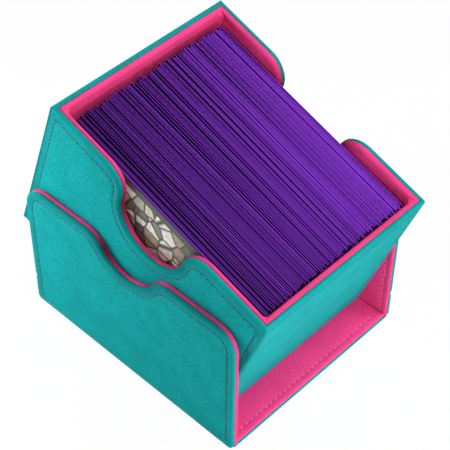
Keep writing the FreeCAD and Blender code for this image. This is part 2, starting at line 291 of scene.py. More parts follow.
def finished_mesh(bm, name):
    """Mesh of a bmesh that needs no more work."""
    mesh = bpy.data.meshes.new(name)
    bm.to_mesh(mesh)
    bm.free()
    return mesh


floor_bm = bmesh.new()
bmesh.ops.create_grid(floor_bm, x_segments=1, y_segments=1, size=FLOOR_SIZE / 2)
floor = add_object("floor", finished_mesh(floor_bm, "floor"))
floor.data.materials.append(floor_paint())

world = bpy.data.worlds.new("studio")
bpy.context.scene.world = world
world_tree = empty_tree(world)
ambient = add_node(world_tree, "ShaderNodeBackground", {"Color": WHITE, "Strength": AMBIENT})
white = add_node(world_tree, "ShaderNodeBackground", {"Color": WHITE, "Strength": 1.0})
choose_light(world_tree, "ShaderNodeOutputWorld", seen_directly(world_tree), ambient, white)
print(f"floor {FLOOR_SIZE} m wide, ambient light {AMBIENT}")

# %% Lamps
LAMP_AIM = (cad_box[0] + cad_box[1]) / 2


def softbox(name, place, size, watts):
    """Square area lamp that points at the box's middle."""
    data = bpy.data.lights.new(name, "AREA")
    data.size = size
    data.energy = watts
    lamp = add_object(name, data)
    lamp.location = Vector(place)
    lamp.rotation_euler = (LAMP_AIM - lamp.location).to_track_quat("-Z", "Y").to_euler()


softbox("front_lamp", (-0.16, -0.66, 0.62), 0.5, 3.7)
softbox("top_lamp", (0.32, -0.28, 0.80), 0.4, 4.4)
softbox("low_lamp", (-0.075, -0.30, 0.05), 0.10, 0.35)
softbox("right_lamp", (0.60, -0.10, 0.75), 0.5, 1.6)
softbox("left_lamp", (-0.12, 0.160, 0.12), 0.12, 0.45)
bpy.context.scene.view_settings.view_transform = "Standard"
print("five softboxes")

# %% [markdown]
# ## Microfibre
# Skin and lining are the same cloth in two colours: a fine, matte nap of cut fibres, like suede. Close up it
# is a speckle of half a millimetre, and the nap lies a little differently from place to place.
# A picture of cloth would repeat itself, so the speckle is a noise that drives colour, roughness and bump.
# The attribute edge_roll marks where the cloth goes round an edge: there it turns to a darker colour, painted
# shade of the rolled edge. Round the slopes of a thumb notch and along the cover's top edge, next to the
# tray, a second attribute darkens the cloth further with painted shade.

# %% Microfibre
SPECKLE_PER_METRE = 1900
SPECKLE_DEPTH = 0.16 * MM
NAP_PER_METRE = 90
NAP_DEPTH = 0.6 * MM


def microfibre(name, shade, nap, lit, edge_shade_colour, painted_shade_colour, sheen):
    """Suede-like cloth between a shade and a lit colour, with two darker colours of painted shade for its
    edges.
    """
    sockets = {"Specular IOR Level": 0.03, "Sheen Weight": 0.045, "Sheen Roughness": 0.3}
    sockets["Sheen Tint"] = (*sheen, 1.0)
    material, tree, shader = new_material(name, sockets)
    speckle = noise(tree, SPECKLE_PER_METRE, detail=3.0, roughness=0.65)
    fibres = ramp(tree, speckle, [(0.28, shade), (0.5, nap), (0.74, lit)])
    # Painted shade: darker round every rolled edge, and darker still on notch slopes, the cover's rim and the
    # base's crease.
    round_edges = mix_colour(tree, attribute(tree, "edge_roll"), fibres, edge_shade_colour)
    edge_shading = mix_colour(tree, attribute(tree, "painted_shade"), round_edges, painted_shade_colour)
    lay_of_nap = noise(tree, NAP_PER_METRE, detail=2.0)
    coloured = brighten(tree, edge_shading, spread(tree, lay_of_nap, 0.93, 1.07))
    link(tree, coloured, shader.inputs["Base Color"])
    link(tree, spread(tree, speckle, 0.96, 0.78), shader.inputs["Roughness"])
    soft = bump(tree, shader, lay_of_nap, NAP_DEPTH, strength=0.25)
    bump(tree, shader, speckle, SPECKLE_DEPTH, strength=0.5, onto=soft)
    return material


# In each cloth the two colours after lit are painted shade for the edges, not colours of the cloth itself.
TEAL = microfibre(
    "teal_microfibre",
    shade=(0.003, 0.226, 0.235),
    nap=(0.004, 0.334, 0.342),
    lit=(0.020, 0.428, 0.436),
    edge_shade_colour=(0.004, 0.284, 0.290),
    painted_shade_colour=(0.001, 0.090, 0.094),
    sheen=(0.55, 0.95, 0.95),
)
PINK = microfibre(
    "pink_microfibre",
    shade=(0.80, 0.040, 0.170),
    nap=(0.93, 0.058, 0.236),
    lit=(0.98, 0.083, 0.288),
    edge_shade_colour=(0.78, 0.060, 0.225),
    painted_shade_colour=(0.20, 0.005, 0.030),
    sheen=(1.0, 0.6, 0.8),
)
print("cloth:", TEAL.name, PINK.name)

# %% [markdown]
# ## Outlines
# Every wall is an outline with a thickness. An outline is drawn as with a pen: extruding one vertex makes a
# straight stretch, and spinning it about a centre makes an arc. Only the right half is drawn, and mirrored.
# The same outline is drawn several times, each time a little smaller, for the rings of a rounded edge.

# %% The pen
ARC_STEP = math.radians(6)


def line_to(bm, start, y, z):
    """Extrude the vertex straight to another place in its plane."""
    end = bmesh.ops.extrude_vert_indiv(bm, verts=[start])["verts"][0]
    bmesh.ops.translate(bm, verts=[end], vec=Vector((start.co.x, y, z)) - start.co)
    return end


def arc_about(bm, start, y, z, angle):
    """Spin the vertex about a centre in its plane."""
    made = bmesh.ops.spin(
        bm,
        geom=[start],
        cent=(start.co.x, y, z),
        axis=X_AXIS,
        angle=angle,
        steps=max(2, round(abs(angle) / ARC_STEP)),
    )
    return next(item for item in made["geom_last"] if isinstance(item, bmesh.types.BMVert))


# %% [markdown]
# A notched wall has a thumb cut in the middle of its top edge: a round hollow between two round shoulders.
# The three circles touch, so one angle gives both arcs. The cover's walls also have rounded corners,
# and their upright edges have a small dent low down, where the wrapped cloth is folded. An end wall is the
# same outline without any of these.

# %% Wall outlines
COVER_NOTCH = 11.3 * MM
COVER_CORNER = 9.3 * MM
THUMB_RADIUS = 15.0 * MM
SHOULDER_RADIUS = 10.0 * MM
SMALLEST_RADIUS = 0.12 * MM
FADE = 0.75 * MM
CREEP = 0.03
DENT_HEIGHT = 12.6 * MM
DENT_SHAPE = ((-1.4 * MM, 0.0), (-0.5 * MM, 0.7), (0.3 * MM, 1.0), (1.2 * MM, 0.6), (2.2 * MM, 0.0))
TOUCHING = 0.001 * MM


def limited(inset, limit):
    """An inset that all but stops at a limit; the small creep keeps the rings apart."""
    return inset if inset <= limit else limit + CREEP * (inset - limit)


def ring_insets(wall, inset, roll):
    """How far a ring lies inside the wall's foot, side, rim and notch; a seam may run nearer to some."""
    rolling = roll > 0.5
    return {
        "foot": max(0.0, limited(inset, wall.get("bottom_inset", inset))),
        "side": inset * wall.get("side_roll", 1.0) if rolling else inset - wall.get("side_shift", 0),
        "rim": limited(inset, wall.get("top_inset", inset)),
        "notch": inset if rolling else inset - wall.get("notch_shift", 0),
    }


def draw_half_wall(bm, wall, x, height, inset, roll):
    """Right half of a ring in the plane at x, from the middle of the wall's foot to that of its top."""
    insets = ring_insets(wall, inset, roll)
    low = wall["bottom"] + insets["foot"]
    rim = wall["top"] - insets["rim"]
    side = wall["side"] + wall.get("mitre", 0) * height - insets["side"]
    pen = bm.verts.new((x, 0, low))
    if "foot_radius" in wall:
        radius = max(wall["foot_radius"] - inset, SMALLEST_RADIUS)
        pen = line_to(bm, pen, side - radius, low)
        pen = arc_about(bm, pen, side - radius, low + radius, math.pi / 2)
    else:
        pen = line_to(bm, pen, side, low)
    if "bottom_inset" in wall:
        pen = line_to(bm, pen, side, wall["bottom"] + 4 * FADE)
    if "dent" in wall:
        for rise, share in DENT_SHAPE:
            pen = line_to(bm, pen, side - share * wall["dent"], DENT_HEIGHT + rise)
    if "corner_radius" in wall:
        corner = wall["corner_radius"] - inset
        pen = line_to(bm, pen, side, rim - corner)
        pen = arc_about(bm, pen, side - corner, rim - corner, math.pi / 2)
    else:
        if "top_inset" in wall:
            pen = line_to(bm, pen, side, wall["top"] - 4 * FADE)
        pen = line_to(bm, pen, side, rim)
    if "notch_depth" not in wall:
        line_to(bm, pen, 0, rim)
        return
    thumb = THUMB_RADIUS + insets["notch"]
    shoulder = SHOULDER_RADIUS - insets["rim"]
    drop = THUMB_RADIUS + SHOULDER_RADIUS - wall["notch_depth"]
    shoulder_y = math.sqrt((thumb + shoulder) ** 2 - drop**2)
    turn = math.atan2(shoulder_y, drop)
    pen = line_to(bm, pen, shoulder_y, rim)
    pen = arc_about(bm, pen, shoulder_y, rim - shoulder, turn)
    arc_about(bm, pen, 0, rim - shoulder + drop, -turn)


def draw_wall(bm, wall, x, height, inset, roll):
    """Whole ring of a wall; returns its edges."""
    old_edges = set(bm.edges)
    old_verts = set(bm.verts)
    draw_half_wall(bm, wall, x, height, inset, roll)
    half = [vert for vert in bm.verts if vert not in old_verts]
    half += [edge for edge in bm.edges if edge not in old_edges]
    bmesh.ops.mirror(bm, geom=half, axis="Y", merge_dist=TOUCHING)
    return [edge for edge in bm.edges if edge not in old_edges]


cover_skin_low, cover_skin_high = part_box("cover_right_skin")
cover_wall = {
    "bottom": cover_skin_low.z,
    "top": cover_skin_high.z,
    "side": cover_skin_high.y,
    "notch_depth": COVER_NOTCH,
    "corner_radius": COVER_CORNER,
}
print("cover wall in mm:", {key: round(value / MM, 2) for key, value in cover_wall.items()})

# %% [markdown]
# ## Plates with a sewn edge
# A skin is a flat sheet that rolls over at its edge, with a groove where the stitches pull it down.
# Bevelling a slab would round its edge, but could not sink the groove beside it. So the plate is lofted: its
# outline is drawn once for each ring of the profile, a little further in each time, and neighbouring rings
# are bridged. Bridging twists where two rings lie in one plane, so they are bridged as a tall stack, which is
# then pressed flat to the profile's heights. A pocket on the back of a skin takes the board.
# A ring of the groove is given by its distance from the stitches in lips, by its share of the groove's depth
# and by its share of the painted edge shade.

# %% Plates
CROWN = 0.04 * MM
PUFF = 0.18 * MM
ROLL_SHARE = 0.5
ROLL_DEGREES = (0, 20, 40, 55, 70, 90)
ROLL_FADE = 0.45
RUN_OUT = (1.0 * MM, 2.5 * MM)
LIP = 0.45 * MM
GROOVE_RINGS = ((-2, 0.08, 0.2), (-1, 0.4, 0.1), (0, 1.0, 0.0), (1, 0.4, 0.0), (2, 0.1, 0.0))
CREASE = 0.3 * MM
STACK_STEP = 2.0 * MM
SMOOTH_BELOW = math.radians(50)
CLOTHS = {"skin": ("teal_microfibre", TEAL), "lining": ("pink_microfibre", PINK)}


def rolled_profile(thickness, roll, stitch=None, groove=0.0, bead=0.0, depth_share=ROLL_SHARE):
    """Rings of a plate from its back to its middle: inset from the edge, height, share of edge roll.

    The edge is a quarter of an ellipse that stands a little proud of the board's edge; a bead lifts it above
    the face too. A groove lies under the stitches, and a crease where the plate meets the next one.
    """
    crest = thickness - CROWN
    deep = depth_share * thickness + bead
    rings = [(CREASE, 0.0, 1.0), (0.3 * CREASE, 0.3 * CREASE, 1.0), (0.0, CREASE, 1.0)]
    for degrees in ROLL_DEGREES:
        across = 1 - math.cos(math.radians(degrees))
        up = math.sin(math.radians(degrees))
        rings.append(((roll + PUFF) * across - PUFF, crest + bead - deep * (1 - up), 1 - ROLL_FADE * up))
    if stitch is None:
        near, far = RUN_OUT
        return rings + [(roll + near, thickness - CROWN / 3, 0.2), (roll + far, thickness, 0.0)]
    rings.append((stitch - 3.2 * LIP, thickness + 0.5 * bead, 0.3))
    for lips, share, edge_shading in GROOVE_RINGS:
        rings.append((stitch + lips * LIP, crest - share * groove, edge_shading))
    return rings + [(stitch + 4 * LIP, thickness - CROWN / 3, 0.0), (stitch + 6 * LIP, thickness, 0.0)]


def loft_wall(wall, profile, pocket=None):
    """Closed plate from the rings of a profile; its back lies at X 0 and it rises along +X."""
    bm = bmesh.new()
    edge_roll = bm.verts.layers.float.new("edge_roll")
    painted_shade = bm.verts.layers.float.new("painted_shade")
    loops = []
    for level, (inset, height, roll) in enumerate(profile):
        loops.append(draw_wall(bm, wall, level * STACK_STEP, height, inset, roll))
    for lower, upper in zip(loops, loops[1:]):
        bmesh.ops.bridge_loops(bm, edges=lower + upper)
    for loop in (loops[0], loops[-1]):
        bmesh.ops.contextual_create(bm, geom=loop)
    bmesh.ops.recalc_face_normals(bm, faces=bm.faces)
    rings = [{vert for edge in loop for vert in edge.verts} for loop in loops]
    highest = max(height for inset, height, roll in profile)
    # Each ring gets its share of painted edge shade, and the notch slopes and the cover's rim get more
    # painted shade.
    for ring, (inset, height, roll) in zip(rings, profile):
        for vert in ring:
            vert.co.x = highest if ends_level(wall, vert.co.z, inset) else height
            vert[edge_roll] = roll
            vert[painted_shade] = roll * max(notch_slope(wall, vert.co), rim_shade(wall, vert.co))
    if pocket:
        rim, depth = pocket
        bm.normal_update()
        back = next(face for face in bm.faces if len(face.verts) > 4 and face.normal.x < -0.99)
        bmesh.ops.inset_region(bm, faces=[back], thickness=rim - CREASE, use_even_offset=True)
        sunk = bmesh.ops.extrude_discrete_faces(bm, faces=[back])["faces"]
        bmesh.ops.translate(bm, verts=sunk[0].verts, vec=(depth, 0, 0))
    return bm


def notch_slope(wall, place):
    """1 halfway down the slope of a thumb notch, falling to 0 at its top and bottom."""
    if "notch_depth" not in wall or abs(place.y) > THUMB_RADIUS + SHOULDER_RADIUS:
        return 0.0
    share = min(1.0, max(0.0, (wall["top"] - place.z) / wall["notch_depth"]))
    return 4 * share * (1 - share)


def rim_shade(wall, place):
    """How much painted shade lies along the top edge, next to the tray; it fades round the corners to the
    upright edges.
    """
    if "rim_shade" not in wall or place.z < (wall["bottom"] + wall["top"]) / 2:
        return 0.0
    return wall["rim_shade"] * min(1.0, max(0.0, (wall["side"] - abs(place.y)) / wall["corner_radius"]))


def ends_level(wall, z, inset):
    """True at an edge along which the groove doesn't run."""
    at_foot = inset > wall.get("bottom_inset", inset) and z < wall["bottom"] + 2 * FADE
    at_top = inset > wall.get("top_inset", inset) and z > wall["top"] - 2 * FADE
    return at_foot or at_top


def dress(bm, name, body, materials, nodes, place):
    """Turn a finished bmesh into a piece that rides on a body and stands for CAD nodes, if any."""
    bmesh.ops.transform(bm, matrix=place, verts=bm.verts)
    mesh = finished_mesh(bm, name)
    for material in materials:
        mesh.materials.append(material)
    mesh.shade_smooth()
    mesh.set_sharp_from_angle(angle=SMOOTH_BELOW)
    piece = add_object(name, mesh)
    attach(piece, body)
    if nodes:
        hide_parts(*nodes)
    print(f"{name}: {len(mesh.polygons)} faces")


def lay_cloth(bm, node, place):
    """Cloth in place of the CAD skin or lining of that name."""
    words = node.split("_")
    slot, cloth = CLOTHS[words[-1]]
    dress(bm, f"{node}_cloth", words[0], [cloth], [node], place)


# %% [markdown]
# ## Stitches
# A line of machine stitches is a row of short threads that dive into needle holes. A dashed line in a shader
# would look flat, so one thread and one hole are modelled with a few faces each and repeated along the
# groove. The line itself is the wall's own outline, drawn with the same pen at the groove's distance.
# A needle hole is a small dark spot on the cloth, not a hole: its darkness is painted shade.

# %% Thread and needle holes
STITCH_PITCH = 2.5 * MM
THREAD_RADIUS = 0.19 * MM
THREAD_LENGTH = 2.0 * MM
THREAD_DIP = -0.22 * MM
THREAD_LIFT = 0.04 * MM
THREAD_RISES = (0.22 * MM, 0.06 * MM, -0.06 * MM, -0.22 * MM)
THREAD_SIDES = 6
TWIST_PER_METRE = 5200
TWIST_DEPTH = 0.05 * MM
STITCH_SLANT = math.radians(8)
HOLE_RADIUS = 0.29 * MM
HOLE_TOP = 0.5 * HOLE_RADIUS
HOLE_HEIGHT = 0.12 * MM
HOLE_STRETCH = (1, 1.9, 0.8)
HOLE_SIDES = 8
HOLE_ASIDE = 0.34 * MM
HOLE_LIFT = 0.10 * MM


def thread_cloth(name, dark, light):
    """Spun thread: a fine twist with little shine."""
    material, tree, shader = new_material(name, {"Specular IOR Level": 0.1})
    twist = noise(tree, TWIST_PER_METRE, detail=1.0)
    link(tree, ramp(tree, twist, [(0.3, dark), (0.7, light)]), shader.inputs["Base Color"])
    link(tree, spread(tree, twist, 0.65, 0.5), shader.inputs["Roughness"])
    bump(tree, shader, twist, TWIST_DEPTH, strength=0.6)
    return material


GREY_THREAD = thread_cloth("grey_thread", (0.034, 0.110, 0.117), (0.092, 0.185, 0.193))
PINK_THREAD = thread_cloth("pink_thread", (0.80, 0.120, 0.290), (0.90, 0.180, 0.370))
TEAL_HOLE_SHADE = thread_cloth("needle_hole_shade_teal", (0.001, 0.036, 0.038), (0.002, 0.060, 0.063))
PINK_HOLE_SHADE = thread_cloth("needle_hole_shade_pink", (0.38, 0.013, 0.074), (0.48, 0.019, 0.105))


def one_thread():
    """A short thread along Y whose two ends dip below X 0."""
    bm = bmesh.new()
    piece = THREAD_LENGTH / len(THREAD_RISES)
    bmesh.ops.create_cone(
        bm,
        cap_ends=True,
        segments=THREAD_SIDES,
        radius1=THREAD_RADIUS,
        radius2=THREAD_RADIUS,
        depth=piece,
    )
    bmesh.ops.rotate(bm, verts=bm.verts, matrix=Matrix.Rotation(-math.pi / 2, 3, "X"))
    bmesh.ops.translate(bm, verts=bm.verts, vec=(THREAD_DIP, (piece - THREAD_LENGTH) / 2, 0))
    end = max(bm.faces, key=lambda face: face.calc_center_median().y)
    bmesh.ops.translate(bm, verts=end.verts, vec=(THREAD_RISES[0], 0, 0))
    for rise in THREAD_RISES[1:]:
        end = bmesh.ops.extrude_discrete_faces(bm, faces=[end])["faces"][0]
        bmesh.ops.translate(bm, verts=end.verts, vec=(rise, piece, 0))
    bmesh.ops.recalc_face_normals(bm, faces=bm.faces)
    return finished_mesh(bm, "one_thread")


def one_hole():
    """A small spot, longer along Y, that lies on X 0; its dark colour is painted shade of a needle hole."""
    bm = bmesh.new()
    bmesh.ops.create_cone(
        bm,
        cap_ends=True,
        segments=HOLE_SIDES,
        radius1=HOLE_RADIUS,
        radius2=HOLE_TOP,
        depth=HOLE_HEIGHT,
    )
    bmesh.ops.rotate(bm, verts=bm.verts, matrix=Matrix.Rotation(math.pi / 2, 3, "Y"))
    bmesh.ops.scale(bm, verts=bm.verts, vec=HOLE_STRETCH)
    for face in bm.faces:
        face.material_index = 1
    return finished_mesh(bm, "one_hole")


THREAD = one_thread()
HOLE = one_hole()
print(f"thread {len(THREAD.polygons)} faces, needle hole {len(HOLE.polygons)} faces")


# %% Sewing
THREADS = {"skin": [GREY_THREAD, TEAL_HOLE_SHADE], "lining": [PINK_THREAD, PINK_HOLE_SHADE]}


def sewing_line(wall, inset, height):
    """Points of a wall's stitch line, from one foot over the top to the other."""
    bm = bmesh.new()
    draw_half_wall(bm, wall, height, height, inset, 0.0)
    half = [vert.co.copy() for vert in bm.verts][1:]
    bm.free()
    return half + [Vector((point.x, -point.y, point.z)) for point in reversed(half[:-1])]


def evenly(points, pitch):
    """(place, direction) at a whole number of even steps along a line of points."""
    lengths = [(second - first).length for first, second in zip(points, points[1:])]
    total = sum(lengths)
    count = max(1, round(total / pitch))
    places = []
    stretch = 0
    walked = 0.0
    for step in range(count):
        target = (step + 0.5) * total / count
        while walked + lengths[stretch] < target:
            walked += lengths[stretch]
            stretch += 1
        along = (points[stretch + 1] - points[stretch]).normalized()
        places.append((points[stretch] + along * (target - walked), along))
    return places


def sew(lines):
    """Threads and needle holes along lines that lie in planes of constant X."""
    bm = bmesh.new()
    for points in lines:
        for place, along in evenly(points, STITCH_PITCH):
            up = Vector(X_AXIS)
            turned = Matrix((up, along, up.cross(along))).transposed().to_4x4()
            slanted = turned @ Matrix.Rotation(STITCH_SLANT, 4, "X")
            copy_into(bm, THREAD, Matrix.Translation(place + up * THREAD_LIFT) @ slanted)
            beside = along * STITCH_PITCH / 2 + up.cross(along) * HOLE_ASIDE + up * HOLE_LIFT
            copy_into(bm, HOLE, Matrix.Translation(place + beside) @ turned)
    return bm


def copy_into(bm, mesh, matrix):
    """Add a copy of a small mesh at a place."""
    start = len(bm.verts)
    bm.from_mesh(mesh)
    bm.verts.ensure_lookup_table()
    bmesh.ops.transform(bm, matrix=matrix, verts=bm.verts[start:])


def lay_seam(lines, node, place):
    """Stitches along the lines of the skin or lining of that name."""
    words = node.split("_")
    dress(sew(lines), f"{node}_stitches", words[0], THREADS[words[-1]], (), place)


print(f"stitches of {STITCH_PITCH / MM} mm")

# %% [markdown]
# ## Cover
# The cover is a U of three laminates. Its two side walls are alike, so the same plates are lofted for both,
# and turned half round on the left. The skin's stitches follow the upright edges and the notched top; they
# run down to the foot and none cross it. The lining carries the same seam on its own side, a little further
# in.

# %% Cover walls
SKIN_ROLL = 0.85 * MM
SKIN_STITCH = 3.6 * MM
SKIN_SIDE_SHIFT = 0.7 * MM
SKIN_DENT = 0.4 * MM
SKIN_BEAD = 0.2 * MM
GROOVE = 0.26 * MM
LINING_ROLL = 0.4 * MM
LINING_STITCH = 4.6 * MM
LINING_SIDE_SHIFT = 2.0 * MM
WRAP = 1.6 * MM
SKIN_SHEET = 0.5 * MM
# Strength of the painted shade along the cover's top edge, next to the tray, on skin and lining.
SKIN_RIM_SHADE = 0.6
LINING_RIM_SHADE = 0.3
FOOT_ROUND = 2.0 * MM
LINING_FOOT = 0.3 * MM

cover_lining_low, cover_lining_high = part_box("cover_right_lining")
cover_skin = cover_skin_high.x - cover_skin_low.x
cover_lining = cover_lining_high.x - cover_lining_low.x
cover_skin_profile = rolled_profile(cover_skin, SKIN_ROLL, SKIN_STITCH, GROOVE, SKIN_BEAD)
cover_lining_profile = rolled_profile(cover_lining, LINING_ROLL, LINING_STITCH, GROOVE)
outer_wall = {
    **cover_wall,
    "foot_radius": FOOT_ROUND,
    "bottom_inset": SKIN_ROLL,
    "side_shift": SKIN_SIDE_SHIFT,
    "dent": SKIN_DENT,
    "rim_shade": SKIN_RIM_SHADE,
}
inner_wall = {
    **cover_wall,
    "bottom": cover_lining_low.z,
    "bottom_inset": LINING_FOOT,
    "side_shift": LINING_SIDE_SHIFT,
    "rim_shade": LINING_RIM_SHADE,
}
SIDES = {"right": 0.0, "left": math.pi}


def turned_wall(turn, distance):
    """Place of a plate that rises along +X: pushed out from the middle, then turned about Z."""
    return Matrix.Rotation(turn, 4, "Z") @ Matrix.Translation((distance, 0, 0))


def turned_lining(turn, distance):
    """The same for a plate that faces the middle."""
    return turned_wall(turn, distance) @ Matrix.Rotation(math.pi, 4, "Z")


for name, turn in SIDES.items():
    place = turned_wall(turn, cover_skin_low.x)
    skin = loft_wall(outer_wall, cover_skin_profile, pocket=(WRAP, cover_skin - SKIN_SHEET))
    lay_cloth(skin, f"cover_{name}_skin", place)
    seam = sewing_line(outer_wall, SKIN_STITCH, cover_skin - GROOVE)
    lay_seam([seam], f"cover_{name}_skin", place)
    place = turned_lining(turn, cover_lining_high.x)
    lay_cloth(loft_wall(inner_wall, cover_lining_profile), f"cover_{name}_lining", place)
    seam = sewing_line(inner_wall, LINING_STITCH, cover_lining - GROOVE)
    lay_seam([seam], f"cover_{name}_lining", place)

# %% [markdown]
# The base is a plain rectangle in the same laminate. Its plates are drawn upright like a wall and laid flat
# by a quarter turn about Y. Stitches run along its open front and back edges only, so the grooves stop at the
# side walls, and the crease where the lining meets them, between the two seams, is darkened with painted
# shade. The lining stops just short of the skin's open edges, and its rolled edges get no painted edge shade.

# %% Cover base
BASE_STITCH = 2.6 * MM
BASE_STEP = 0.25 * MM
BASE_SEAM_END = 1.4 * MM
BASE_CREASE = 0.5 * MM
CREASE_SHADE = 0.75

base_skin_low, base_skin_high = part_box("cover_base_skin")
base_lining_low, base_lining_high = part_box("cover_base_lining")
base_skin = base_skin_high.z - base_skin_low.z
base_lining = base_lining_high.z - base_lining_low.z
DOWN = Matrix.Rotation(math.pi / 2, 4, "Y")
UP = Matrix.Rotation(-math.pi / 2, 4, "Y")


def flat_plate(low, high, less=0.0):
    """Outline of a flat plate that is drawn upright; less is taken off its long sides."""
    return {"bottom": low.x, "top": high.x, "side": high.y - less}


def cut_at(bm, place, normal):
    """Cut through the whole mesh along a plane."""
    everything = bm.verts[:] + bm.edges[:] + bm.faces[:]
    bmesh.ops.bisect_plane(bm, geom=everything, dist=TOUCHING, plane_co=place, plane_no=normal)


def straight_line(wall, side, height, ends):
    """Stitch line along one long edge of a flat plate."""
    return [Vector((height, side, wall["bottom"] + ends)), Vector((height, side, wall["top"] - ends))]


base_outer = flat_plate(base_skin_low, base_skin_high)
base_inner = flat_plate(base_lining_low, base_lining_high, less=BASE_STEP)
base_inner.update(bottom_inset=BASE_CREASE, top_inset=BASE_CREASE)
place = Matrix.Translation((0, 0, base_skin_high.z)) @ DOWN
skin = loft_wall(base_outer, rolled_profile(base_skin, SKIN_ROLL), pocket=(WRAP, base_skin - SKIN_SHEET))
lay_cloth(skin, "cover_base_skin", place)

place = Matrix.Translation((0, 0, base_lining_low.z)) @ UP
profile = rolled_profile(base_lining, LINING_ROLL, BASE_STITCH, GROOVE)
# The base lining's rolled edges get no painted edge shade.
unshaded_profile = [(inset, height, 0.0) for inset, height, roll in profile]
lining = loft_wall(base_inner, unshaded_profile)
seam_side = base_inner["side"] - BASE_STITCH
seams = []
for side in (seam_side, -seam_side):
    cut_at(lining, (0, side, 0), (0, 1, 0))
    seams.append(straight_line(base_inner, side, base_lining - GROOVE, BASE_SEAM_END))
# Painted shade along the crease where the base lining meets the side walls, between the two seams.
painted_shade = lining.verts.layers.float["painted_shade"]
for vert in lining.verts:
    if abs(vert.co.z) > base_inner["top"] - BASE_CREASE and abs(vert.co.y) < seam_side + CREASE:
        vert[painted_shade] = CREASE_SHADE
lay_cloth(lining, "cover_base_lining", place)
lay_seam(seams, "cover_base_lining", place)

# %% [markdown]
# ## Tray
# The tray's walls are made in its level frame and tilted into place with the last transform. Its corners are
# mitred: a skin grows longer outwards and a lining shorter inwards, a millimetre for every millimetre of
# height, so that neighbouring plates meet on the diagonal. Only the skins are stitched here; the linings are
# glued in afterwards and stay smooth.

# %% Tray walls
TRAY_NOTCH = 25.0 * MM
TRAY_STITCH = 4.6 * MM
TRAY_SIDE_SHIFT = 2.5 * MM
TRAY_NOTCH_SHIFT = 1.3 * MM
BACK_BEAD = 0.6 * MM
RIM_ROLL = 1.7 * MM
RIM_SHARE = 0.8
MITRE_ROLL = 0.7
GLUED_ROLL = 0.05

tray_low, tray_high = level_box("tray_right_skin")
tray_lining_low, tray_lining_high = level_box("tray_right_lining")
end_high = level_box("tray_front_skin")[1]
end_lining_low = level_box("tray_front_lining")[0]
tray_skin = tray_high.x - tray_low.x
tray_lining = tray_lining_high.x - tray_lining_low.x
tray_middle = (tray_low.y + tray_high.y) / 2
tray_seam_end = tray_high.y - tray_middle - tray_skin
long_skin = {
    "bottom": tray_low.z,
    "top": tray_high.z,
    "side": tray_seam_end,
    "notch_depth": TRAY_NOTCH,
    "mitre": 1,
    "side_roll": MITRE_ROLL,
    "bottom_inset": SKIN_ROLL,
    "side_shift": TRAY_SIDE_SHIFT,
    "notch_shift": TRAY_NOTCH_SHIFT,
}
GLUED_IN = {
    "mitre": -1,
    "side_roll": GLUED_ROLL,
    "side_shift": 0.0,
    "notch_shift": 0.0,
    "bottom_inset": LINING_FOOT,
}
long_lining = {**long_skin, **GLUED_IN, "bottom": tray_lining_low.z}
end_skin = {key: value for key, value in long_skin.items() if key != "notch_depth"}
end_skin.update(side=end_high.x - tray_skin)
end_lining = {**end_skin, **GLUED_IN, "bottom": end_lining_low.z}
ENDS = {"back": math.pi / 2, "front": -math.pi / 2}
TRAY_PLACE = FROM_LEVEL @ Matrix.Translation((0, tray_middle, 0))

walls = [(name, turn, long_skin, long_lining, tray_low.x) for name, turn in SIDES.items()]
walls += [(name, turn, end_skin, end_lining, tray_seam_end) for name, turn in ENDS.items()]
for name, turn, skin_wall, lining_wall, seam_distance in walls:
    place = TRAY_PLACE @ turned_wall(turn, seam_distance)
    bead = BACK_BEAD if name == "back" else SKIN_BEAD
    profile = rolled_profile(tray_skin, SKIN_ROLL, TRAY_STITCH, GROOVE, bead)
    skin = loft_wall(skin_wall, profile, pocket=(WRAP, tray_skin - SKIN_SHEET))
    lay_cloth(skin, f"tray_{name}_skin", place)
    seam = sewing_line(skin_wall, TRAY_STITCH, tray_skin - GROOVE)
    lay_seam([seam], f"tray_{name}_skin", place)
    place = TRAY_PLACE @ turned_lining(turn, seam_distance)
    lining = loft_wall(lining_wall, rolled_profile(tray_lining, RIM_ROLL, depth_share=RIM_SHARE))
    lay_cloth(lining, f"tray_{name}_lining", place)

# %% [markdown]
# The lining turns the tray's inner corners in a small round, like any soft sheet that is glued into a box. A
# fillet cannot be cut into two separate plates, so each corner gets a slim upright strip of its own: an arc
# with its corner, extruded up to the rim, where it leans out along the lining's roll and dives under it.

# %% Inner corners
CORNER_ROUND = 1.8 * MM
CORNER_STEPS = 6
CORNER_RINGS = ((1.0, 0.0), (0.8, 0.02), (0.6, 0.07), (0.42, 0.16), (0.28, 0.29), (0.18, 0.45))
corner_x = tray_lining_low.x
corner_y = tray_seam_end - tray_lining


def roll_back(inset):
    """How far the lining's face has drawn back at a distance below its top."""
    share = (RIM_ROLL - inset) / (RIM_ROLL + PUFF)
    return RIM_SHARE * tray_lining * (1 - math.sqrt(1 - share**2))


